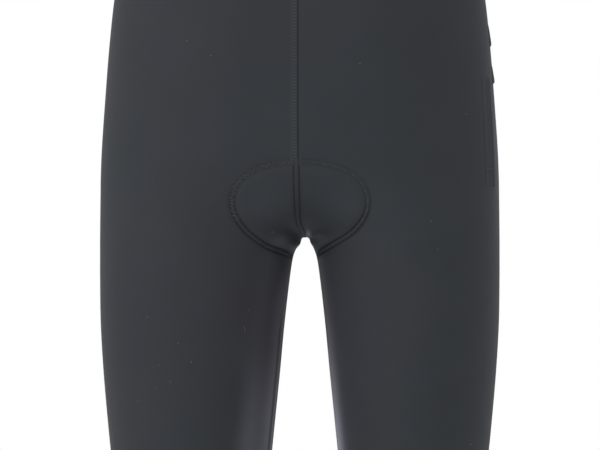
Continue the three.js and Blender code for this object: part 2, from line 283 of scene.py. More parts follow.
FORM_CURVE = TableCurve(FORM)
PAD_CURVE = TableCurve(PAD)


def smoothstep(value, low, high):
    t = np.clip((value - low) / (high - low), 0, 1)
    return t * t * (3 - 2 * t)


def bump(value, middle, wide):
    return np.exp(-(((value - middle) / wide) ** 2))


def plateau(value, low, high, soft):
    return smoothstep(value, low - soft, low + soft) * (1 - smoothstep(value, high - soft, high + soft))


def worn_form(p):
    """Below zero inside the worn form and above zero outside."""
    y, height = p[..., 1], p[..., 2]
    outer, gap, front, back, blend = FORM_CURVE.at(height)
    fade = smoothstep(SWAY_FADE - height, 0, SWAY_FADE)
    inside = np.maximum(1 - (p[..., 0] / outer) ** 2, 0)
    x = p[..., 0] - SWAY_ASIDE * fade * inside
    along = (height - VALLEY_HEIGHT) / VALLEY_TALL
    valley = VALLEY_DEEP * np.exp(-((x / VALLEY_WIDE) ** 2) - along**2)
    backward = 0.5 + 0.5 * np.tanh(y / SIDE_TURN)
    depth = front + (back - valley - front) * backward
    half = (outer - gap) / 2

    def one_half(side):
        shift = sum(s.shift * bump(height, s.height, s.tall) for s in KEYHOLE if s.side == side)
        away = x - side * ((outer + gap) / 2 + shift * bump(x, 0, KEYHOLE_WIDE))
        reach = np.maximum(np.hypot(away / half, y / depth), 1e-6)
        return np.hypot(away, y) * (1 - 1 / reach)

    left, right = one_half(LEFT), one_half(RIGHT)
    closeness = np.maximum(blend - np.abs(left - right), 0) / blend
    return np.minimum(left, right) - blend * closeness**3 / 6


def slope_of_form(p):
    steps = SLOPE_STEP * np.eye(3)
    return np.stack([(worn_form(p + d) - worn_form(p - d)) / (2 * SLOPE_STEP) for d in steps], axis=-1)


def unit(v):
    return v / np.maximum(np.linalg.norm(v, axis=-1, keepdims=True), 1e-12)


def normal_at(p):
    return unit(slope_of_form(p))


def settle(p, rounds=3):
    """Moves points the short way onto the form."""
    for _ in range(rounds):
        slope = slope_of_form(p)
        p = p - slope * (worn_form(p) / np.sum(slope**2, axis=-1))[..., None]
    return p


def cast(start, way):
    """Where rays from inside the form first leave it; the stride shortens close to the surface."""
    start, way = np.broadcast_arrays(start, way)
    near = np.zeros(start.shape[:-1])
    far = near + STRIDE_LEAST
    for _ in range(STRIDES_MOST):
        depth = -worn_form(start + way * far[..., None])
        if (depth <= 0).all():
            break
        stride = np.clip(STRIDE_SHARE * depth, STRIDE_LEAST, STRIDE_MOST)
        near, far = np.where(depth > 0, far, near), np.where(depth > 0, far + stride, far)
    for _ in range(HALVINGS):
        middle = (near + far) / 2
        inside = worn_form(start + way * middle[..., None]) < 0
        near, far = np.where(inside, middle, near), np.where(inside, far, middle)
    return start + way * ((near + far) / 2)[..., None]


def centre_points(facing, height, tilt=0.0):
    """Points of the centre seam, in front (-1) or behind (1); tilt turns the ray down from level."""
    height, tilt = np.broadcast_arrays(np.asarray(height, float), np.asarray(tilt, float))
    aside = SWAY_ASIDE * smoothstep(tilt, math.radians(SWAY_SEAM_FROM), math.pi / 2)
    start = np.stack([aside, 0 * height, height], axis=-1)
    way = np.stack([0 * tilt, facing * np.cos(tilt), -np.sin(tilt)], axis=-1)
    return cast(start, way)


class Rows(NamedTuple):
    """Sections of a half: the height at the side, the end points, and how the ends are reached."""

    side: np.ndarray
    front: np.ndarray
    back: np.ndarray
    level: bool
    on_seam: bool


def seam_rows(side, front_height, back_height, tilt=0.0):
    front = centre_points(-1, front_height, tilt)
    back = centre_points(1, back_height, tilt)
    return Rows(np.asarray(side, float), front, back, bool(np.all(np.asarray(tilt) == 0)), True)


def waist_rows(share):
    down = WAISTBAND_TALL * share
    return seam_rows(WAIST_SIDE - down, WAIST_FRONT - down, WAIST_BACK - down)


def hip_rows(share):
    side, front, back = (
        (top - WAISTBAND_TALL) * (1 - share) + PIVOT * share
        for top in (WAIST_SIDE, WAIST_FRONT, WAIST_BACK)
    )
    return seam_rows(side, front, back)


def crotch_rows(share):
    level = np.full_like(share, PIVOT)
    return seam_rows(PIVOT + (ROOT_SIDE - PIVOT) * share, level, level, share * math.pi / 2)


def inner_rows(side, inner):
    end = np.stack([0 * inner + SWAY_ASIDE, 0 * inner, inner], axis=-1)
    return Rows(side, end, end, False, False)


def leg_rows(share):
    top = LEG_END + LEG_BAND_TALL
    crotch = centre_points(-1, PIVOT, math.pi / 2)[2]
    inner = crotch + (top - crotch) * share**LEG_ROW_EASE
    return inner_rows(ROOT_SIDE + (top - ROOT_SIDE) * share, inner)


def leg_band_rows(share):
    height = LEG_END + LEG_BAND_TALL * (1 - share)
    return inner_rows(height, height)


def column_shares(count, closer=1.0):
    """Where the columns of a half lie, from -1 in front to 1 behind; closer below 1 packs the seams."""
    left = 1 - np.abs(np.arange(-count, count + 1) / count)
    share = 1 - left * (closer + (1 - closer) * left)
    return np.sign(np.arange(-count, count + 1)) * share


def row_points(rows, side, share):
    """The grid of one half, from the front ends of its rows round the outside to their back ends."""
    rise_share = np.sin(share * math.pi / 2) ** 2

    def ends(point):
        rise = point[:, 2] - rows.side
        away = np.hypot(point[:, 0] - side * AXIS_X, point[:, 1])
        turn = np.arctan2(np.abs(point[:, 1]), side * (point[:, 0] - side * AXIS_X))
        return (turn, rise, 0 * rise) if rows.level else (turn, 0 * rise, rise / away)

    front, back = (np.stack(ends(point), -1)[:, None] for point in (rows.front, rows.back))
    near = np.where(share[None, :, None] < 0, front, back)
    turn = near[..., 0] * share * (1 + COLUMN_EASE * (1 - np.abs(share)))
    height = rows.side[:, None] + near[..., 1] * rise_share
    start = np.stack([np.full_like(height, side * AXIS_X), 0 * height, height], axis=-1)
    way = np.stack([side * np.cos(turn), np.sin(turn), near[..., 2] * rise_share], axis=-1)
    points = cast(start, unit(way))
    if rows.on_seam:
        points[:, 0], points[:, -1] = rows.front, rows.back
    return points


def shares(count):
    return np.linspace(0, 1, count + 1)


def walk_across(start, seam_way, side, distance, steps):
    """Walks along the form, square to the centre seam, and returns the points passed, step by step."""
    p, passed = start.copy(), [start]
    substeps = 3
    stride = (distance / (steps * substeps))[:, None]
    ahead = np.cross(normal_at(p), seam_way)
    seam_way = seam_way * np.where(ahead[:, :1] * side < 0, -1, 1)
    for k in range(1, steps * substeps + 1):
        p = settle(p + unit(np.cross(normal_at(p), seam_way)) * stride, rounds=1)
        if k % substeps == 0:
            passed.append(p)
    return np.stack(passed, axis=1)


def pad_seam(angle):
    angle = np.asarray(angle, float)
    tilt = np.radians(np.where(angle <= 90, angle, 180 - angle))
    ahead = centre_points(-1, np.full_like(tilt, PIVOT), tilt)
    behind = centre_points(1, np.full_like(tilt, PIVOT), tilt)
    return np.where((angle <= 90)[:, None], ahead, behind)


def pad_grid(angle, steps):
    """Points on the form over the pad: one row for each angle, as wide as the pad is there."""
    start = pad_seam(angle)
    along = unit(pad_seam(angle + 0.5) - pad_seam(angle - 0.5))
    half = PAD_CURVE.at(np.clip(angle, PAD[0].angle, PAD[-1].angle))[0]
    aside = PAD_ASIDE * (1 - smoothstep(angle, PAD_ASIDE_FULL, PAD_ASIDE_NONE))
    right, left = (
        walk_across(start, along, side, half + side * aside, steps) for side in (RIGHT, LEFT)
    )
    return np.concatenate([right[:, :0:-1], left], axis=1)


class PadMark:
    """How far a point on the form is inside the pad's edge, in millimetres; below zero outside."""

    def __init__(self):
        self.outline = pad_outline(MARK_SPACING)
        self.outward = outward_of(self.outline)

    def depth(self, points):
        flat = points.reshape(-1, 3)
        depth = np.full(len(flat), MARK_FAR)
        level = (flat[:, 2] < MARK_HIGH) & (flat[:, 2] > MARK_LOW)
        close = np.flatnonzero(level & (np.abs(flat[:, 0]) < MARK_ASIDE))
        for part in np.array_split(close, max(1, len(close) // MARK_BATCH)):
            away = flat[part][:, None] - self.outline[None]
            distance = np.linalg.norm(away, axis=-1)
            nearest = distance.argmin(axis=1)
            every = np.arange(len(part))
            side = np.sum(away[every, nearest] * self.outward[nearest], axis=-1)
            depth[part] = -np.sign(side) * distance[every, nearest]
        return depth.reshape(points.shape[:-1])


def outward_of(loop):
    """Directions along the form, square to a closed loop and away from the middle of the pad."""
    tangent = unit(np.roll(loop, -1, axis=0) - np.roll(loop, 1, axis=0))
    out = unit(np.cross(tangent, normal_at(loop)))
    highest = loop[:, 2].argmax()
    return out if out[highest, 2] > 0 else -out


def pad_outline(spacing):
    """The pad's edge as a closed loop of evenly spaced points on the form."""
    grid = pad_grid(np.linspace(PAD[0].angle, PAD[-1].angle, OUTLINE_ROWS), OUTLINE_STEPS)
    loop = np.concatenate([grid[:, -1], grid[-1, -2:0:-1], grid[::-1, 0], grid[0, 1:-1]])
    return evenly(smooth_loop(loop, OUTLINE_ROUNDS), spacing, closed=True)


def arc(loop, keep):
    """The part of a closed loop where keep holds, in order; it has to be one run of points."""
    first = np.flatnonzero(keep & ~np.roll(keep, 1))[0]
    return np.roll(loop, -first, axis=0)[: keep.sum()]


def smooth_loop(points, rounds):
    for _ in range(rounds):
        points = (np.roll(points, 1, axis=0) + 2 * points + np.roll(points, -1, axis=0)) / 4
    return points


def travel(grid, axis):
    """Millimetres gone along one axis of a grid, as the mean over its other axis."""
    step = np.linalg.norm(np.diff(grid, axis=axis), axis=-1).mean(axis=1 - axis)
    return np.concatenate([[0], np.cumsum(step)])


def evenly(points, spacing, closed=False):
    if closed:
        points = np.concatenate([points, points[:1]])
    along = travel(points[:, None], 0)
    count = max(2, round(along[-1] / spacing))
    want = np.linspace(0, along[-1], count + 1)
    made = np.stack([np.interp(want, along, points[:, k]) for k in range(3)], axis=-1)
    return made[:-1] if closed else made


# Soft relief of the cloth


def pad_pull(points):
    """How hard the pad's stitches pull: most low down in front, on the wearer's left, and less higher up."""
    x, y, height = np.moveaxis(points, -1, 0)
    low = np.where(y < 0, 1 - smoothstep(height, PULL_FULL, PULL_NONE), PULL_BEHIND)
    left = smoothstep(x, PULL_LEFT_FROM, PULL_LEFT_TO)
    return PULL_LEAST + (1 - PULL_LEAST) * low + PULL_LEFT * left * low


class Relief:
    """How far the cloth stands off the plain form: over the pad, along creases and in its troughs."""

    def __init__(self, sizes):
        self.sizes = sizes
        self.pad = PadMark()

    def soft(self, points, inside):
        x, y, height = np.moveaxis(points, -1, 0)
        from_crotch = np.hypot(np.hypot(x - SWAY_ASIDE, y / 2), height + SWELL_DROP)
        swell = smoothstep(inside, 0, PAD_SWELL_REACH) * smoothstep(from_crotch, SWELL_FROM, SWELL_TO)
        out = self.sizes.pad_swell * swell
        for c in CREASES:
            middle = c.x + c.lean * (height - (c.high + c.low) / 2)
            shape = bump(x, middle, c.wide) * plateau(height, c.low, c.high, CREASE_FADE)
            out = out - np.where(y < 0, c.deep * shape, 0)
        return out

    def at(self, points):
        return self.soft(points, self.pad.depth(points))

    def with_trough(self, points):
        """The same, with the trough that the pad's stitches pull into the cloth."""
        inside = self.pad.depth(points)
        trough = self.sizes.pad_ditch * pad_pull(points) * bump(inside, 0, PAD_TROUGH_WIDE)
        return self.soft(points, inside) - trough


def lifted(points, relief, out):
    """Points on the form moved out along its normal, on top of the soft relief."""
    out = np.asarray(out, float) + relief.at(points)
    return points + normal_at(points) * out[..., None]


# Meshes


def to_world(points):
    made = np.array(points, float).reshape(-1, 3)
    made[:, 2] += CROTCH_Z
    return made * MM


def linked(name, data):
    made = bpy.data.objects.new(name, data)
    bpy.context.scene.collection.objects.link(made)
    return made


def mesh_object(name, points, faces, material, lay=None, shade=None):
    """A mesh object at the origin from form points in millimetres; its normals are turned outward."""
    world = to_world(points)
    mesh = bpy.data.meshes.new(name)
    mesh.from_pydata(world.tolist(), [], np.asarray(faces).tolist())
    mesh.validate()
    mesh.update()
    if signed_volume(mesh) < 0:
        mesh.flip_normals()
    mesh.polygons.foreach_set("use_smooth", [True] * len(mesh.polygons))
    if lay is not None:
        layer = mesh.attributes.new("lay", "FLOAT_VECTOR", "POINT")
        layer.data.foreach_set("vector", np.asarray(lay, np.float32).reshape(-1))
        # Painted highlights and painted shade, as a factor on the colour; ones where nothing is painted
        colour_factor = mesh.attributes.new("shade", "FLOAT", "POINT")
        colour_factor.data.foreach_set("value", np.ones(len(world), np.float32) if shade is None else shade)
    mesh.materials.append(material)
    return linked(name, mesh)


def signed_volume(mesh):
    mesh.calc_loop_triangles()
    corners = np.empty(len(mesh.loop_triangles) * 3, np.int32)
    mesh.loop_triangles.foreach_get("vertices", corners)
    at = np.empty(len(mesh.vertices) * 3, np.float32)
    mesh.vertices.foreach_get("co", at)
    a, b, c = at.reshape(-1, 3)[corners.reshape(-1, 3)].swapaxes(0, 1)
    return float(np.sum(a * np.cross(b, c)))


def sheet_faces(rows, columns, start, closed):
    i, k = np.meshgrid(np.arange(rows - 1), np.arange(columns if closed else columns - 1), indexing="ij")
    ahead = (k + 1) % columns
    corners = [i * columns + k, (i + 1) * columns + k, (i + 1) * columns + ahead, i * columns + ahead]
    return np.stack([c.reshape(-1) for c in corners], axis=-1) + start


def wall_object(name, outer, inner, material, closed=False, shade=None):
    """A closed wall between two grids; a closed one runs round and joins its last column to its first."""
    rows, columns = outer.shape[:2]
    back = rows * columns
    faces = [sheet_faces(rows, columns, 0, closed), sheet_faces(rows, columns, back, closed)[:, ::-1]]
    k = np.arange(columns if closed else columns - 1)
    for row, turn in ((0, 1), (rows - 1, -1)):
        here, ahead = row * columns + k, row * columns + (k + 1) % columns
        faces.append(np.stack([here, ahead, ahead + back, here + back], axis=-1)[:, ::turn])
    if not closed:
        i = np.arange(rows - 1)
        for column, turn in ((0, -1), (columns - 1, 1)):
            here, below = i * columns + column, (i + 1) * columns + column
            faces.append(np.stack([here, below, below + back, here + back], axis=-1)[:, ::turn])
    points = np.concatenate([outer.reshape(-1, 3), inner.reshape(-1, 3)])
    lay = np.tile(lay_of(outer).reshape(-1, 3), (2, 1))
    colour_factor = None if shade is None else np.tile(shade.reshape(-1), 2).astype(np.float32)
    return mesh_object(name, points, np.concatenate(faces), material, lay, colour_factor)


def lay_of(grid):
    """Millimetres along the rows and down the columns, which the knit follows."""
    u, v = np.meshgrid(travel(grid, 1), travel(grid, 0))
    return np.stack([u, v, 0 * u], axis=-1)


def rounding(distance, radius):
    """From 0 at an edge up to 1 at a radius away from it, as a quarter circle."""
    t = np.clip(distance / radius, 0, 1)
    return np.sqrt(1 - (1 - t) ** 2)


def edge_shares(count, tall, radius):
    """Shares from 0 to 1 with extra rows close to both ends, for a rounded edge."""
    near = np.array([0, 0.08, 0.3, 0.65]) * radius / tall
    middle = np.linspace(radius / tall, 1 - radius / tall, count)
    return np.concatenate([near, middle, 1 - near[::-1]])


def loop_grid(rows, share):
    left = row_points(rows, LEFT, share)
    right = row_points(rows, RIGHT, share)[:, ::-1]
    return np.concatenate([left, right[:, 1:-1]], axis=1)


def round_wall(grid, tall, proud, thick, edge):
    """Outer and inner grids of a wall with rounded upper and lower edges."""
    along = travel(grid, 0)
    along = along * tall / along[-1]
    swell = rounding(np.minimum(along, tall - along), edge)[:, None]
    normal = normal_at(grid)
    middle = proud - thick / 2
    outer = grid + normal * (middle + thick / 2 * swell)[..., None]
    inner = grid + normal * (middle - thick / 2 * swell)[..., None]
    return outer, inner


def ribbon(name, path, relief, profile, reach, material, closed=False):
    """A fine band of cloth along a path on the form, with the heights of a profile across it and its painted
    light and shade as a factor on the colour.

    The profile takes millimetres across, above zero to the wearer's left or away from a closed path's middle.
    """
    across = outward_of(path) if closed else leftward_of(path)
    steps = np.linspace(-reach, reach, RIBBON_STEPS)
    spread = [path]
    for ways in (steps[RIBBON_STEPS // 2 + 1 :], steps[: RIBBON_STEPS // 2][::-1]):
        at, before = path, 0.0
        for way in ways:
            at = settle(at + across * (way - before), rounds=2)
            before = way
            spread = [*spread, at] if way > 0 else [at, *spread]
    spread = np.stack(spread, axis=1)
    height, shade = profile(steps[None, :], path, relief.sizes)
    edge = np.abs(steps) < reach
    under = np.minimum(height, 0) - np.where(edge, RIBBON_THICK, RIBBON_THICK / 2)
    top = lifted(spread, relief, height)
    low = lifted(spread, relief, under)
    if closed:
        top, low, shade = (grid.swapaxes(0, 1) for grid in (top, low, shade))
    return wall_object(name, top, low, material, closed, shade)


def leftward_of(path):
    """Directions along the form, square to an open path and towards the wearer's left."""
    way = unit(np.cross(normal_at(path), np.gradient(path, axis=0)))
    return way if way[:, 0].sum() >= 0 else -way


SEAM_REACH = {"centre": 5.6, "inner": 3.6, "side": 3.6}
BAND_FROM, BAND_TO, BAND_LINE_AT = -4.6, 0.9, 1.6
RIDGE_HALF, RIDGE_LINES_AT, RIDGE_TO, BAND_ABOVE = 1.6, 2.3, 58, 70
# LINE_DARK is painted shade darkening the centre seam's lines in their ditches, partly standing for a darker
# thread
FLAT_LINES_AT, LINE_DARK = 2.7, 0.45
PAD_EDGE_REACH, PAD_LINES_AT = 3.2, 1.85


def both_sides(across, at, wide):
    return bump(across, -at, wide) + bump(across, at, wide)


def centre_profile(across, path, sizes):
    """The centre seam: a flat band beside one dark line, and over the pad a ridge between two lines. The
    lines are ditches darkened with painted shade, partly standing for a darker thread, and a painted
    highlight lightens the band's other edge.
    """
    band = plateau(across, BAND_FROM, BAND_TO, 0.4)
    line = bump(across, BAND_LINE_AT, 0.55)
    flush = 0.06 * smoothstep(np.abs(across), 4.4, SEAM_REACH["centre"])
    upper = 0.1 * band - 0.55 * line - flush
    upper_painted_light = 1 + 0.05 * band + 0.1 * bump(across, -4.2, 0.4) - LINE_DARK * line
    lines = both_sides(across, RIDGE_LINES_AT, 0.5)
    ridge = 0.45 * plateau(across, -RIDGE_HALF, RIDGE_HALF, 0.45) - 0.5 * lines - flush
    ridge_painted_light = 1 - LINE_DARK * lines
    share = smoothstep(path[:, 2:], RIDGE_TO, BAND_ABOVE) * (path[:, 1:2] < 0)
    return ridge + (upper - ridge) * share, ridge_painted_light + (upper_painted_light - ridge_painted_light) * share


def flat_profile(high, half, soft, deep, dark):
    """The profile of a flat seam of a height and half width, between lines of a depth and darkness. The
    darkness is painted shade along the lines, partly standing for a darker thread.
    """

    def profile(across, path, sizes):
        lines = both_sides(across, FLAT_LINES_AT, 0.5)
        every = np.ones((len(path), 1))
        return (high * plateau(across, -half, half, soft) - deep * lines) * every, (1 - dark * lines) * every

    return profile


def pad_profile(across, path, sizes):
    """The pad's stitching: two deep lines low down in front, fading to a shallow groove higher up. The lines
    are darkened with painted shade, the more the harder they pull.
    """
    pull = pad_pull(path)[:, None]
    trough = sizes.pad_line * pull * bump(across, 0, PAD_TROUGH_WIDE)
    height = 0.03 - trough + 0.95 * trough * bump(across, 0, 1.1)
    lines = bump(across, -PAD_LINES_AT, 0.6) + bump(across, PAD_LINES_AT, 0.65)
    return height, 1 - 0.55 * pull * lines


SEAM_PROFILES = {
    "centre": centre_profile,
    "inner": flat_profile(high=0.12, half=2.2, soft=0.4, deep=0.2, dark=0.35),
    "side": flat_profile(high=0.1, half=2.4, soft=0.5, deep=0.0, dark=0.25),
}


# Materials


class Shade:
    """A socket of a shader, with plain arithmetic on it."""

    def __init__(self, tree, socket):
        self.tree, self.socket = tree, socket

    def math(self, operation, *others):
        return maths(self.tree, operation, self, *others)

    def __add__(self, other):
        return self.math("ADD", other)

    def __mul__(self, other):
        return self.math("MULTIPLY", other)

    __radd__, __rmul__ = __add__, __mul__

    def __sub__(self, other):
        return self.math("SUBTRACT", other)

    def __rsub__(self, other):
        return maths(self.tree, "SUBTRACT", other, self)

    def sine(self):
        return self.math("SINE")

    def clamp(self):
        return self.math("MAXIMUM", 0).math("MINIMUM", 1)


def maths(tree, operation, *values):
    made = node(tree, "ShaderNodeMath", {"operation": operation})
    for socket, value in zip(made.inputs, values):
        join(tree, value, socket)
    return Shade(tree, made.outputs[0])


def join(tree, value, socket):
    if isinstance(value, Shade):
        tree.links.new(value.socket, socket)
    elif isinstance(value, bpy.types.NodeSocket):
        tree.links.new(value, socket)
    else:
        socket.default_value = value


def node(tree, kind, settings=None, **inputs):
    """Adds a node, sets its settings and joins or sets its inputs, which are named with underscores."""
    made = tree.nodes.new(kind)
    for name, value in (settings or {}).items():
        setattr(made, name, value)
    fill(tree, made, {name.replace("_", " "): value for name, value in inputs.items()})
    return made


def fill(tree, made, inputs):
    for name, value in inputs.items():
        join(tree, value, made.inputs[name])


def blank_material(name):
    material = bpy.data.materials.new(name)
    material.use_nodes = True
    tree = material.node_tree
    tree.nodes.clear()
    surface = node(tree, "ShaderNodeBsdfPrincipled")
    node(tree, "ShaderNodeOutputMaterial", None, Surface=surface.outputs["BSDF"])
    return material, tree, surface


# Places of the colour sockets on a Mix node, whose names repeat
MIX_A, MIX_B, MIX_RESULT = 6, 7, 2


def mixed(tree, factor, first, second, blend="MIX"):
    made = node(tree, "ShaderNodeMix", {"data_type": "RGBA", "blend_type": blend}, Factor=factor)
    join(tree, first, made.inputs[MIX_A])
    join(tree, second, made.inputs[MIX_B])
    return made.outputs[MIX_RESULT]


def noise(tree, where, scale, detail=2.0, roughness=0.5):
    inputs = {"Vector": where, "Scale": scale, "Detail": detail, "Roughness": roughness}
    return Shade(tree, node(tree, "ShaderNodeTexNoise", None, **inputs).outputs["Fac"])


def attribute(tree, name, output):
    return node(tree, "ShaderNodeAttribute", {"attribute_name": name}).outputs[output]


def parts_of(tree, vector):
    return [Shade(tree, part) for part in node(tree, "ShaderNodeSeparateXYZ", None, Vector=vector).outputs]


def object_place(tree):
    return node(tree, "ShaderNodeTexCoord").outputs["Object"]


def two_tones(tree, factor, colour, darker, lighter):
    """A mix between a darker and a lighter kind of one colour."""
    return mixed(tree, factor, *((*(c * gain for c in colour), 1) for gain in (darker, lighter)))


COURSE_SHARE = 0.8
MOTTLE_SCALE, FIBRE_SCALE, STRAND_SCALE, TINT_SCALE = 22.0, 1400.0, 2600.0, 5.0
TINT_COOL, TINT_WARM = (0.965, 1.01, 1.0, 1), (1.09, 0.95, 1.03, 1)
TINT_SPREAD, TINT_START, WARM_NARROW, WARM_LOW, WARM_FROM = 2.4, 1.0, 11.0, -9.0, 2.4


def cloth_material(name, colour, looks, rib=0.75):
    """Smooth stretch knit: fine wales that follow the cut, mottling and a slow change of tint, all times the
    painted highlights and painted shade carried on the mesh.
    """
    material, tree, surface = blank_material(name)
    place = object_place(tree)
    u, v, _ = parts_of(tree, attribute(tree, "lay", "Vector"))
    knit = (2 * math.pi / rib * u).sine() * (2 * math.pi / (rib * COURSE_SHARE) * v).sine()
    mottle = noise(tree, place, MOTTLE_SCALE, 3.0)
    fibre = noise(tree, place, FIBRE_SCALE, 2.0, 0.6)
    colour_factor = (0.5 * (mottle - 0.5) + 0.35 * (fibre - 0.5) + 0.5).clamp()
    x, _, z = parts_of(tree, place)
    toward_middle = 1 - (WARM_NARROW * x).math("ABSOLUTE").clamp()
    lower = (WARM_LOW * z - WARM_FROM).clamp()
    tint = TINT_SPREAD * noise(tree, place, TINT_SCALE, 1.0) - TINT_START + toward_middle * lower
    shifted = mixed(tree, tint.clamp(), TINT_COOL, TINT_WARM)
    dyed = mixed(tree, 1.0, two_tones(tree, colour_factor, colour, 0.86, 1.14), shifted, "MULTIPLY")
    relief = {"Strength": 0.25, "Distance": 0.0002, "Height": 0.5 * knit + fibre}
    dress = {
        # The dyed colour times the painted highlights and painted shade of the mesh
        "Base Color": mixed(tree, 1.0, dyed, attribute(tree, "shade", "Color"), "MULTIPLY"),
        "Roughness": (0.12 * (fibre - 0.5) + looks.cloth_roughness).clamp(),
        "Specular IOR Level": looks.cloth_specular,
        "Normal": node(tree, "ShaderNodeBump", None, **relief).outputs["Normal"],
    }
    fill(tree, surface, dress)
    return material


def thread_material(name, colour):
    material, tree, surface = blank_material(name)
    strand = noise(tree, object_place(tree), STRAND_SCALE, 1.0)
    dyed = two_tones(tree, strand, colour, 0.75, 1.3)
    fill(tree, surface, {"Base Color": dyed, "Roughness": 0.6, "Specular IOR Level": 0.35})
    return material


def plain_material(name, colour, roughness=0.8):
    material, tree, surface = blank_material(name)
    fill(tree, surface, {"Base Color": (*colour, 1), "Roughness": roughness, "Specular IOR Level": 0.2})
    return material


# Stitches


STITCH_INPUTS = (
    ("Pitch", "NodeSocketFloat", 0.002),
    ("Along", "NodeSocketFloat", 0.001),
    ("Across", "NodeSocketFloat", 0.004),
    ("Lift", "NodeSocketFloat", 0.0003),
    ("Thread", "NodeSocketFloat", 0.00018),
    ("Zigzag", "NodeSocketFloat", 0.0),
    ("Jitter", "NodeSocketFloat", 0.04),
    ("Seed", "NodeSocketInt", 1),
    ("Material", "NodeSocketMaterial", None),
)
STITCH_LENGTHS = {"Pitch", "Along", "Across", "Lift", "Thread"}

# Places of the plain number's sockets on a Random Value node
RANDOM_MIN, RANDOM_MAX, RANDOM_VALUE = 2, 3, 1
THREAD_STEPS, THREAD_SIDES = 5, 5


def stitch_group():
    """A node group that lays one small arched thread after another along a path."""
    name = "Stitches along a path"
    if name in bpy.data.node_groups:
        return bpy.data.node_groups[name]
    tree = bpy.data.node_groups.new(name, "GeometryNodeTree")
    tree.interface.new_socket("Geometry", in_out="OUTPUT", socket_type="NodeSocketGeometry")
    tree.interface.new_socket("Path", in_out="INPUT", socket_type="NodeSocketGeometry")
    for label, kind, value in STITCH_INPUTS:
        socket = tree.interface.new_socket(label, in_out="INPUT", socket_type=kind)
        if value is not None:
            socket.default_value = value
    given = {socket.name: Shade(tree, socket) for socket in node(tree, "NodeGroupInput").outputs}

    def vector(x=0.0, y=0.0, z=0.0):
        return node(tree, "ShaderNodeCombineXYZ", None, X=x, Y=y, Z=z).outputs[0]

    along, across = given["Along"], given["Across"]
    bow = {
        "Resolution": THREAD_STEPS,
        "Start": vector(-0.5 * along, -0.5 * across),
        "Middle": vector(z=2.0 * given["Lift"]),
        "End": vector(0.5 * along, 0.5 * across),
    }
    arch = node(tree, "GeometryNodeCurveQuadraticBezier", None, **bow).outputs[0]
    round_thread = {"Resolution": THREAD_SIDES, "Radius": given["Thread"]}
    ring = node(tree, "GeometryNodeCurvePrimitiveCircle", None, **round_thread).outputs[0]
    thread = node(tree, "GeometryNodeCurveToMesh", None, Curve=arch, Profile_Curve=ring, Fill_Caps=True)

    path = node(tree, "GeometryNodeMeshToCurve", None, Mesh=given["Path"]).outputs[0]
    even = {"Curve": path, "Length": given["Pitch"]}
    spots = node(tree, "GeometryNodeResampleCurve", {"mode": "LENGTH"}, **even).outputs[0]
    out = node(tree, "GeometryNodeInputNamedAttribute", {"data_type": "FLOAT_VECTOR"}, Name="out")
    turned = node(
        tree,
        "FunctionNodeAxesToRotation",
        {"primary_axis": "Z", "secondary_axis": "X"},
        Primary_Axis=out.outputs["Attribute"],
        Secondary_Axis=node(tree, "GeometryNodeInputTangent").outputs[0],
    )
    odd = Shade(tree, node(tree, "GeometryNodeInputIndex").outputs[0]).math("MODULO", 2.0)
    swing = -2.0 * across.math("ARCTAN2", along) * odd * given["Zigzag"]
    wobble = node(tree, "FunctionNodeRandomValue", {"data_type": "FLOAT"}, Seed=given["Seed"])
    join(tree, -1.0 * given["Jitter"], wobble.inputs[RANDOM_MIN])
    join(tree, given["Jitter"], wobble.inputs[RANDOM_MAX])
    angle = swing + Shade(tree, wobble.outputs[RANDOM_VALUE])
    spin = node(tree, "FunctionNodeAxisAngleToRotation", None, Axis=(0, 0, 1), Angle=angle)
    local = node(tree, "FunctionNodeRotateRotation", {"rotation_space": "LOCAL"})
    tree.links.new(turned.outputs[0], local.inputs[0])
    tree.links.new(spin.outputs[0], local.inputs[1])
    placed = {"Points": spots, "Instance": thread.outputs[0], "Rotation": local.outputs[0]}
    threads = node(tree, "GeometryNodeInstanceOnPoints", None, **placed)
    real = node(tree, "GeometryNodeRealizeInstances", None, Geometry=threads.outputs[0])
    smooth = node(tree, "GeometryNodeSetShadeSmooth", None, Geometry=real.outputs[0])
    dress = {"Geometry": smooth.outputs[0], "Material": given["Material"]}
    dressed = node(tree, "GeometryNodeSetMaterial", None, **dress)
    node(tree, "NodeGroupOutput", None, Geometry=dressed.outputs[0])
    return tree


def stitched(name, paths, values):
    """Lays stitches along paths, each of points, outward directions and closedness, as one plain piece.

    The values are inputs of the group, with lengths in millimetres.
    """
    points, outs, edges = [], [], []
    for path, out, closed in paths:
        first = len(points)
        points.extend(to_world(path).tolist())
        outs.extend(out.tolist())
        edges.extend((first + k, first + k + 1) for k in range(len(path) - 1))
        if closed:
            edges.append((first + len(path) - 1, first))
    mesh = bpy.data.meshes.new(name)
    mesh.from_pydata(points, edges, [])
    layer = mesh.attributes.new("out", "FLOAT_VECTOR", "POINT")
    layer.data.foreach_set("vector", np.asarray(outs, np.float32).reshape(-1))
    made = linked(name, mesh)
    group = stitch_group()
    modifier = made.modifiers.new("Stitches", "NODES")
    modifier.node_group = group
    sockets = {s.name: s.identifier for s in group.interface.items_tree if s.in_out == "INPUT"}
    for label, value in values.items():
        modifier[sockets[label]] = value * MM if label in STITCH_LENGTHS else value
    evaluated = made.evaluated_get(bpy.context.evaluated_depsgraph_get())
    plain = bpy.data.meshes.new_from_object(evaluated)
    made.modifiers.clear()
    made.data = plain
    made.data.name = name
    finished(made)


def along_path(points, relief, out, closed=False):
    return lifted(points, relief, np.full(len(points), out)), normal_at(points), closed


# Settings


def number(name, default, description, **more):
    return FloatProperty(name=name, default=default, description=description, **more)


def tone_of(name, default, description):
    return FloatVectorProperty(name=name, default=default, description=description, subtype="COLOR")


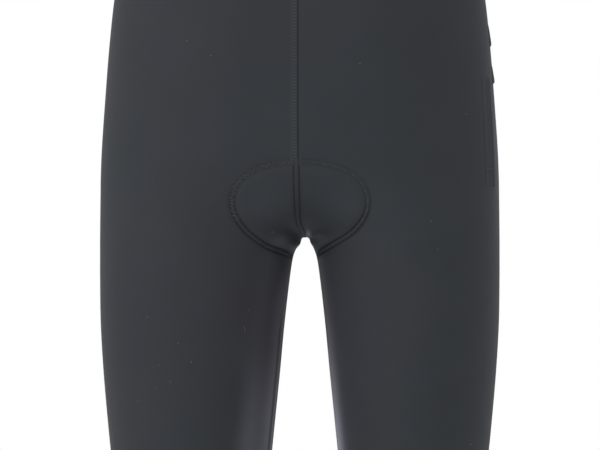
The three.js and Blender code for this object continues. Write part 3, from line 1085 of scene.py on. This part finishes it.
class ShortsSizes(bpy.types.PropertyGroup):
    """Sizes of the cloth and of its relief, in millimetres."""

    cloth: number("Cloth", 1.0, "Thickness of the panels")
    band: number("Band", 2.2, "Thickness of the waistband and leg bands")
    band_proud: number("Band Proud", 0.5, "How far bands stand out")
    pad_swell: number("Pad Swell", 1.1, "How far the pad pushes the cloth out")
    pad_ditch: number("Pad Ditch", 1.5, "Depth of the trough at the pad's edge")
    pad_line: number("Pad Line", 1.2, "Depth of the pad's stitched lines")
    seam_ditch: number("Seam Ditch", 1.8, "Depth of the trough under a seam")


class ShortsStitches(bpy.types.PropertyGroup):
    """The sewing thread and its stitches, in millimetres."""

    thread: number("Thread", 0.2, "Radius of the thread")
    fine_thread: number("Fine Thread", 0.12, "Radius of the thread of flat seams")
    pitch: number("Pitch", 2.6, "Distance from stitch to stitch")
    lift: number("Lift", 0.2, "How far a stitch arches up")
    pad_width: number("Pad Width", 3.4, "Width of the pad's zigzag")
    seed: IntProperty(name="Seed", description="Seed of the small unevenness", default=7)


class ShortsLooks(bpy.types.PropertyGroup):
    """Colours and surface of the materials."""

    cloth: tone_of("Cloth", (0.0304, 0.0328, 0.0378), "Charcoal of the panels")
    band: tone_of("Band", (0.0255, 0.0275, 0.0325), "Charcoal of the bands")
    thread: tone_of("Thread", (0.05, 0.054, 0.063), "Sewing thread")
    pad: tone_of("Pad", (0.05, 0.054, 0.064), "Seat pad")
    lint: tone_of("Lint", (0.3, 0.31, 0.33), "Specks of lint")
    cloth_roughness: number("Roughness", 0.6, "Roughness of the cloth")
    cloth_specular: number("Specular", 0.06, "Gloss of the cloth")


class ShortsStage(bpy.types.PropertyGroup):
    """Camera, floor and light."""

    distance: number("Distance", 2.7, "Camera distance", unit="LENGTH")
    azimuth: number("Azimuth", math.radians(1.5), "Camera turn", subtype="ANGLE")
    view_width: number("View Width", 0.528, "Width seen", unit="LENGTH")
    aim_x: number("Aim Across", 0.0004, "Middle of the view", unit="LENGTH")
    aim_z: number("Aim Height", -0.2623, "Middle of the view", unit="LENGTH")
    world: number("World", 1.0, "Strength of the white surroundings")
    key: number("Key", 36.0, "Power of the soft front light", subtype="POWER")
    floor: tone_of("Floor", (0.9, 0.9, 0.9), "Floor colour")


class ShortsSettings(bpy.types.PropertyGroup):
    """All settings of the looks."""

    sizes: PointerProperty(type=ShortsSizes)
    stitches: PointerProperty(type=ShortsStitches)
    looks: PointerProperty(type=ShortsLooks)
    stage: PointerProperty(type=ShortsStage)


# Shared between the operators


@cache
def shared_relief():
    return Relief(bpy.context.scene.shorts.sizes)


@cache
def shared_material(kind):
    settings = bpy.context.scene.shorts
    looks = settings.looks
    makers = {
        "cloth": lambda: cloth_material("Cloth", looks.cloth, looks),
        "band": lambda: cloth_material("Band", looks.band, looks, rib=1.2),
        "pad": lambda: cloth_material("Pad cloth", looks.pad, looks, rib=1.0),
        "thread": lambda: thread_material("Thread", looks.thread),
        "lint": lambda: plain_material("Lint", looks.lint),
        "floor": lambda: plain_material("Floor", settings.stage.floor, 0.9),
    }
    return makers[kind]()


def finished(piece, replaces=()):
    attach(piece, "root")
    if replaces:
        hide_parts(*replaces)


@cache
def half_grid(side):
    """The fine grid of one half, from the waistband down to the leg band."""
    share = column_shares(PANEL_COLUMNS, PANEL_CLOSER)
    parts = [
        row_points(hip_rows(shares(HIP_ROWS)), side, share),
        row_points(crotch_rows(shares(CROTCH_ROWS)), side, share)[1:],
        row_points(leg_rows(shares(LEG_ROWS)), side, share)[1:],
    ]
    return np.concatenate(parts)


def seam_paths():
    """The lines on the form along which the panels are sewn, each evenly spaced."""
    left, right = half_grid(LEFT), half_grid(RIGHT)
    crotch = HIP_ROWS + CROTCH_ROWS
    middle = left.shape[1] // 2
    front, back = left[: crotch + 1, 0], left[: crotch + 1, -1]
    lines = {
        "centre": np.concatenate([front, back[-2::-1]]),
        "side_left": left[:, middle],
        "side_right": right[:, middle],
        "inner_left": left[crotch:, 0],
        "inner_right": right[crotch:, 0],
    }
    return {name: evenly(line, SEAM_SPACING) for name, line in lines.items()}


def seam_trough(grid, deep):
    """The trough in the cloth along the front and back ends of its rows, from the distance along them."""
    step = np.linalg.norm(np.diff(grid, axis=1), axis=-1)
    along = np.concatenate([np.zeros((len(grid), 1)), np.cumsum(step, axis=1)], axis=1)
    edge = np.minimum(along, along[:, -1:] - along)
    return -deep * bump(edge, 0, SEAM_TROUGH_WIDE)


def inner_distance(points, side):
    """Millimetres outward from the inner edge of a leg, as seen from the front."""
    gap = FORM_CURVE.at(points[..., 2])[1]
    return side * (points[..., 0] - SWAY_ASIDE) - gap


def sheen(points, side):
    """How much lighter the cloth is painted, as a factor on its colour: painted highlights in soft spots and
    down the inner legs, and a darker line along each inseam.
    """
    x, height = points[..., 0], points[..., 2]
    out = np.ones_like(x)
    for g in GLEAMS:
        spot = g.gain * bump(x, g.x, g.wide) * bump(height, g.height, g.tall)
        out = out + np.where(points[..., 1] < 0, spot, 0)
    # Painted rim highlights down the inner legs, with painted light lifting the shade between them, and a
    # darker line along each inseam
    away = np.maximum(inner_distance(points, side), 0)
    low = smoothstep(-height, 5, 180)
    if side == LEFT:
        rim = (1.8 + 6 * low**2) * bump(away, 0, 5) + 0.5 * bump(away, 0, 15)
        line = 0.7 * bump(away, 0.4, 0.8) * plateau(-height, 28, 96, 8)
    else:
        full = smoothstep(-height, 85, 170)
        near = (1.1 + 0.5 * full) * bump(away, 3, 6) * smoothstep(-height, 15, 60)
        rim = 0.95 * full * (1 - smoothstep(away, 17, 34)) + 0.4 * bump(away, 17, 11) + near
        line = 0.82 * bump(away, 2.6, 0.9) * smoothstep(-height, 50, 90)
    return (out + rim * smoothstep(-height, 2, 22)) * (1 - line)


# Operators


class SHORTS_OT_panels(bpy.types.Operator):
    """Builds the four stretch panels as thin shells with relief"""

    bl_idname = "shorts.panels"
    bl_label = "Build Panels"

    def execute(self, context):
        sizes = context.scene.shorts.sizes
        relief = shared_relief()
        material = shared_material("cloth")
        for word, side in (("left", LEFT), ("right", RIGHT)):
            grid = half_grid(side)
            middle = grid.shape[1] // 2
            bumps = relief.with_trough(grid) + seam_trough(grid, sizes.seam_ditch)
            normal = normal_at(grid)
            for face, part in (("front", slice(0, middle + 1)), ("back", slice(middle, None))):
                base = grid[:, part].copy()
                base[:, 0] += SEWN_GAP * unit(base[:, 1] - base[:, 0])
                base[:, -1] += SEWN_GAP * unit(base[:, -2] - base[:, -1])
                outer = base + normal[:, part] * bumps[:, part, None]
                inner = outer - normal[:, part] * sizes.cloth
                # The panels carry the painted highlights of the stretched cloth and the darker inseam lines
                # in their colour
                shade = sheen(base, side)
                piece = wall_object(f"{face}_{word}_cloth", outer, inner, material, shade=shade)
                finished(piece, [f"{face}_{word}"])
        return {"FINISHED"}


class SHORTS_OT_bands(bpy.types.Operator):
    """Builds the waistband and the two leg bands with rounded edges"""

    bl_idname = "shorts.bands"
    bl_label = "Build Bands"

    def execute(self, context):
        sizes = context.scene.shorts.sizes
        material = shared_material("band")
        edge = sizes.band / 2
        rows = waist_rows(edge_shares(BAND_ROWS, WAISTBAND_TALL, edge))
        grid = loop_grid(rows, column_shares(BAND_COLUMNS))
        outer, inner = round_wall(grid, WAISTBAND_TALL, sizes.band_proud, sizes.band, edge)
        waist = wall_object("waistband_cloth", outer, inner, material, closed=True)
        finished(waist, ["waistband"])
        for word, side in (("left", LEFT), ("right", RIGHT)):
            rows = leg_band_rows(edge_shares(BAND_ROWS, LEG_BAND_TALL, edge))
            grid = row_points(rows, side, column_shares(BAND_COLUMNS))[:, :-1]
            outer, inner = round_wall(grid, LEG_BAND_TALL, sizes.band_proud, sizes.band, edge)
            band = wall_object(f"leg_band_{word}_cloth", outer, inner, material, closed=True)
            finished(band, [f"leg_band_{word}"])
        return {"FINISHED"}


class SHORTS_OT_pad(bpy.types.Operator):
    """Builds the seat pad inside the crotch"""

    bl_idname = "shorts.pad"
    bl_label = "Build Seat Pad"

    def execute(self, context):
        angle = np.linspace(PAD[0].angle, PAD[-1].angle, PAD_ROWS)
        grid = pad_grid(angle, PAD_STEPS)
        half, thick = PAD_CURVE.at(angle)[..., None]
        across = np.abs(np.arange(-PAD_STEPS, PAD_STEPS + 1))[None, :] / PAD_STEPS
        body = PAD_EDGE_THICK + (thick - PAD_EDGE_THICK) * (1 - across**4)
        rise_from, rise_to, fall_from, fall_to = PAD_LANE_ANGLES
        lane = PAD_LANE_DEEP * np.exp(-((across * half / PAD_LANE_WIDE) ** 2))
        lane = lane * smoothstep(angle, rise_from, rise_to)[:, None]
        lane = lane * (1 - smoothstep(angle, fall_from, fall_to)[:, None])
        seam = PAD_SEAM_DEEP * bump(across * half, PAD_SEAM_AT * half, PAD_SEAM_WIDE) * (half > PAD_SEAM_HALF)
        normal = normal_at(grid)
        outer = grid - normal * (context.scene.shorts.sizes.cloth + PAD_CLEAR)
        inner = outer - normal * (body - lane - seam)[..., None]
        pad = wall_object("seat_pad_foam", outer, inner, shared_material("pad"))
        finished(pad, ["seat_pad"])
        return {"FINISHED"}


def side_grid(low, high, front, rear, rows, columns):
    down = np.linspace(high, low, rows + 1)
    turn = np.radians(np.linspace(front, rear, columns + 1))
    height, turn = np.meshgrid(down, turn, indexing="ij")
    start = np.stack([np.full_like(height, AXIS_X), 0 * height, height], axis=-1)
    way = np.stack([np.cos(turn), np.sin(turn), 0 * turn], axis=-1)
    return cast(start, way)


def from_edge(down, across, tall, wide):
    return np.minimum(np.minimum(down, tall - down), np.minimum(across, wide - across))


def patch_top(down, across):
    """How far the patch stands off: flat at its front edge and rising towards its rear edge."""
    edge = from_edge(down, across, PATCH_HIGH - PATCH_LOW, PATCH_WIDE)
    rise = PATCH_RISE * smoothstep(across, 0.3 * PATCH_WIDE, 0.9 * PATCH_WIDE)
    return PATCH_FLAT + (PATCH_STEP * rounding(edge, 3.0) + rise) * rounding(edge, 0.9)


class SHORTS_OT_side_pieces(bpy.types.Operator):
    """Builds the narrow patch and the two tabs at the left side"""

    bl_idname = "shorts.side_pieces"
    bl_label = "Build Side Pieces"

    def execute(self, context):
        material, relief = shared_material("cloth"), shared_relief()
        rows, columns = PATCH_ROWS, PATCH_COLUMNS
        grid = side_grid(PATCH_LOW, PATCH_HIGH, PATCH_FRONT, PATCH_REAR, rows, columns)
        tall, wide = PATCH_HIGH - PATCH_LOW, PATCH_WIDE
        down, across = np.meshgrid(shares(rows) * tall, shares(columns) * wide, indexing="ij")
        # The patch is a touch lighter, with a painted shadow along its rear edge
        shade = PATCH_SHADE - PATCH_REAR_PAINTED_SHADOW * bump(across, wide - 0.5, 2.0)
        outer, inner = lifted(grid, relief, patch_top(down, across)), lifted(grid, relief, 0.03)
        patch = wall_object("side_patch_cloth", outer, inner, material, shade=shade)
        finished(patch, ["side_patch"])
        for name, tab in TABS.items():
            grid = side_grid(tab["low"], tab["high"], tab["front"], tab["rear"], TAB_ROWS, TAB_COLUMNS)
            down, across = np.meshgrid(shares(TAB_ROWS), shares(TAB_COLUMNS), indexing="ij")
            thick = TAB_THIN + (tab["thick"] - 0.5) * down
            top = TAB_LIFT + thick * rounding(from_edge(down, across, 1, 1), TAB_EDGE)
            upper, under = lifted(grid, relief, top), lifted(grid, relief, 0.1 + 0 * top)
            # The tabs' colour is lifted by painted light for the rim at the side
            piece = wall_object(f"{name}_cloth", upper, under, material, shade=TAB_PAINTED_LIGHT + 0 * top)
            finished(piece, [name])
        return {"FINISHED"}


class SHORTS_OT_seams(bpy.types.Operator):
    """Lays the flat seams and every line of stitches"""

    bl_idname = "shorts.seams"
    bl_label = "Sew Seams"

    def execute(self, context):
        sewing = context.scene.shorts.stitches
        relief, cloth = shared_relief(), shared_material("cloth")
        common = {
            "Pitch": sewing.pitch,
            "Lift": sewing.lift,
            "Thread": sewing.thread,
            "Seed": sewing.seed,
            "Material": shared_material("thread"),
        }
        fine = {**common, "Thread": sewing.fine_thread, "Lift": 0.0}
        for name, line in seam_paths().items():
            kind = name.split("_")[0]
            band = ribbon(f"seam_{name}", line, relief, SEAM_PROFILES[kind], SEAM_REACH[kind], cloth)
            finished(band)
            across = leftward_of(line)
            if kind == "centre":
                self.sew_centre(line, across, relief, common)
                continue
            rungs = {"Along": 0.8, "Across": 3.8, "Zigzag": 1.0}
            top = along_path(line, relief, 0.1)
            stitched(f"rungs_{name}", [top], {**fine, **rungs})
            edges = [along_path(settle(line + across * at), relief, 0.08) for at in (-EDGE_AT, EDGE_AT)]
            runs = {"Along": 1.9, "Across": 0.0}
            stitched(f"edges_{name}", edges, {**fine, **runs})
        outline = pad_outline(OUTLINE_SPACING)
        band = ribbon("pad_edge", outline, relief, pad_profile, PAD_EDGE_REACH, cloth, closed=True)
        finished(band)
        self.sew_pad(outline, relief, common, fine, sewing)
        self.sew_bands(common, context.scene.shorts.sizes.band_proud + 0.08)
        self.sew_patch(common, relief)
        return {"FINISHED"}

    def sew_pad(self, outline, relief, common, fine, sewing):
        """Uneven zigzag high up at the wearer's right, a few loose threads at the left, fine zigzag else."""
        high = (outline[:, 1] < 0) & (outline[:, 2] > FINE_TO)
        fuzzy, sparse = high & (outline[:, 0] < FUZZY_TO), high & (outline[:, 0] > FEW_FROM)
        wide = {"Across": sewing.pad_width, "Zigzag": 1.0}
        loose = {"Pitch": 1.5, "Along": 0.9, "Across": 1.4 * sewing.pad_width, "Jitter": 0.8}
        few = {"Pitch": 8.5, "Along": 1.5, "Across": 2.4, "Jitter": 1.5}
        close = {"Along": sewing.pitch * 0.5}
        for name, keep, values in (
            ("fuzzy", fuzzy, {**common, **wide, **loose}),
            ("few", sparse, {**common, **few}),
            ("fine", ~high, {**fine, **wide, **close}),
        ):
            path = along_path(arc(outline, keep), relief, -0.02)
            stitched(f"pad_zigzag_{name}", [path], values)

    def sew_centre(self, line, across, relief, common):
        """Short cross threads beside the dark line above the pad, and others behind; none over the ridge."""
        upper = (line[:, 2] > (RIDGE_TO + BAND_ABOVE) / 2) & (line[:, 1] < 0)
        over = settle(line[upper] - across[upper] * 1.2)
        rungs = {"Along": 0.5, "Across": 3.2, "Zigzag": 1.0, "Lift": 0.0}
        path = along_path(over, relief, 0.04)
        stitched("rungs_centre_front", [path], {**common, **rungs})
        behind = along_path(line[line[:, 1] > 0], relief, 0.4)
        rungs = {"Along": 0.6, "Across": 2.8, "Zigzag": 1.0}
        stitched("rungs_centre_back", [behind], {**common, **rungs})

    def sew_bands(self, common, proud):
        runs = {"Pitch": 2.6, "Along": 2.0, "Across": 0.0}

        def line(grid):
            return [(row + normal_at(row) * proud, normal_at(row), True) for row in grid]

        share = column_shares(BAND_COLUMNS)
        waist = loop_grid(waist_rows(1 - np.array(BAND_SEWN) / WAISTBAND_TALL), share)
        stitched("waistband_stitches", line(waist), {**common, **runs})
        for word, side in (("left", LEFT), ("right", RIGHT)):
            rows = leg_band_rows(np.array(BAND_SEWN) / LEG_BAND_TALL)
            leg = row_points(rows, side, share)[:, :-1]
            stitched(f"leg_band_{word}_stitches", line(leg), {**common, **runs})

    def sew_patch(self, common, relief):
        """A line down the rear edge of the patch, and a tack across it near its lower end."""
        rows, columns, inset, turned = 40, 10, 1.6, 1
        front, rear = PATCH_FRONT + turned, PATCH_REAR - turned
        grid = side_grid(PATCH_LOW + inset, PATCH_HIGH - inset, front, rear, rows, columns)
        down = np.linspace(inset, PATCH_HIGH - PATCH_LOW - inset, rows + 1)
        across = np.linspace(inset, PATCH_WIDE - inset, columns + 1)
        top = patch_top(*np.meshgrid(down, across, indexing="ij")) + 0.05
        tack = np.abs(down - (PATCH_HIGH - PATCH_LOW - TACK_HEIGHT)).argmin()
        edge = along_path(grid[:, -1], relief, top[:, -1])
        paths = [edge, along_path(grid[tack], relief, top[tack])]
        runs = {"Pitch": 2.4, "Along": 1.8, "Across": 0.0, "Thread": 0.12}
        stitched("side_patch_stitches", paths, {**common, **runs})


class SHORTS_OT_lint(bpy.types.Operator):
    """Scatters the few specks of lint on the front"""

    bl_idname = "shorts.lint"
    bl_label = "Scatter Lint"

    def execute(self, context):
        relief = shared_relief()
        points, faces = [], []
        for speck in LINT:
            turn = math.radians(speck.turn)
            steps = np.linspace(-0.5, 0.5, LINT_STEPS)
            along, bend = steps * speck.length, LINT_BEND * speck.length * np.cos(steps * math.pi)
            x = speck.x + along * math.cos(turn) - bend * math.sin(turn)
            height = speck.height + along * math.sin(turn) + bend * math.cos(turn)
            start = np.stack([x, 0 * x - 30, height], axis=-1)
            spine = cast(start, np.tile([0.0, -1.0, 0.0], (LINT_STEPS, 1)))
            normal = normal_at(spine)
            thin = LINT_RADIUS / max(1.0, speck.length / LINT_SHORT)
            radius = thin * np.sqrt(1 - 0.8 * np.abs(2 * steps))
            spine = spine + normal * (relief.at(spine) + LINT_LIFT)[:, None]
            across = unit(np.cross(unit(np.gradient(spine, axis=0)), normal))
            ring = [
                spine + (across * math.cos(a) + normal * math.sin(a)) * radius[:, None]
                for a in np.linspace(0, 2 * math.pi, LINT_SIDES + 1)[:-1]
            ]
            first = len(points)
            points.extend(np.stack(ring, axis=1).reshape(-1, 3))
            faces.extend(sheet_faces(LINT_STEPS, LINT_SIDES, first, True).tolist())
            last = first + (LINT_STEPS - 1) * LINT_SIDES
            faces.append([first + k for k in reversed(range(LINT_SIDES))])
            faces.append([last + k for k in range(LINT_SIDES)])
        piece = mesh_object("lint", np.array(points), faces, shared_material("lint"))
        finished(piece)
        return {"FINISHED"}


class SHORTS_OT_stage(bpy.types.Operator):
    """Sets up the floor, the light and the camera"""

    bl_idname = "shorts.stage"
    bl_label = "Build Stage"

    def execute(self, context):
        scene = context.scene
        stage = scene.shorts.stage
        mesh = bpy.data.meshes.new("floor")
        turns = np.linspace(0, 2 * math.pi, FLOOR_SIDES + 1)[:-1]
        corners = [(FLOOR_REACH * math.cos(t), FLOOR_REACH * math.sin(t), FLOOR_Z) for t in turns]
        mesh.from_pydata(corners, [], [tuple(range(FLOOR_SIDES))])
        mesh.materials.append(shared_material("floor"))
        floor = linked("floor", mesh)

        world = bpy.data.worlds.new("Studio")
        world.use_nodes = True
        tree = world.node_tree
        fill(tree, tree.nodes["Background"], {"Color": (1, 1, 1, 1), "Strength": stage.world})
        scene.world = world

        aim = Vector((stage.aim_x, 0, stage.aim_z))
        lamp = bpy.data.lights.new("key", "AREA")
        lamp.shape = "DISK"
        lamp.size = KEY_SIZE
        lamp.energy = stage.key
        place = Vector(KEY_PLACE)
        key = self.aimed(lamp, place, aim - place)

        lens = bpy.data.cameras.new("camera")
        lens.sensor_width = SENSOR
        lens.lens = SENSOR * stage.distance / stage.view_width
        way = Vector((math.sin(stage.azimuth), -math.cos(stage.azimuth), 0))
        scene.camera = self.aimed(lens, aim + way * stage.distance, -way)
        scene.view_settings.view_transform = "Standard"
        return {"FINISHED"}

    def aimed(self, data, place, way):
        made = linked(data.name, data)
        made.location = place
        made.rotation_mode = "QUATERNION"
        made.rotation_quaternion = way.to_track_quat("-Z", "Y")
        return made


class SHORTS_PT_panel(bpy.types.Panel):
    """Sidebar panel with the steps of the build"""

    bl_idname = "SHORTS_PT_panel"
    bl_label = "Cycling Shorts"
    bl_space_type = "VIEW_3D"
    bl_region_type = "UI"
    bl_category = "Shorts"

    def draw(self, context):
        for step in STEPS:
            self.layout.operator(step.bl_idname)
        settings = context.scene.shorts
        for group in (settings.sizes, settings.stitches, settings.looks, settings.stage):
            box = self.layout.box()
            for name in group.__annotations__:
                box.prop(group, name)


STEPS = (
    SHORTS_OT_panels,
    SHORTS_OT_bands,
    SHORTS_OT_pad,
    SHORTS_OT_side_pieces,
    SHORTS_OT_seams,
    SHORTS_OT_lint,
    SHORTS_OT_stage,
)
CLASSES = (
    ShortsSizes,
    ShortsStitches,
    ShortsLooks,
    ShortsStage,
    ShortsSettings,
    *STEPS,
    SHORTS_PT_panel,
)


def register():
    for kind in CLASSES:
        bpy.utils.register_class(kind)
    bpy.types.Scene.shorts = PointerProperty(type=ShortsSettings)


def unregister():
    del bpy.types.Scene.shorts
    for kind in reversed(CLASSES):
        bpy.utils.unregister_class(kind)


def main():
    register()
    bpy.ops.shorts.panels()
    bpy.ops.shorts.bands()
    bpy.ops.shorts.pad()
    bpy.ops.shorts.side_pieces()
    bpy.ops.shorts.seams()
    bpy.ops.shorts.lint()
    bpy.ops.shorts.stage()


if __name__ == "__main__":
    main()
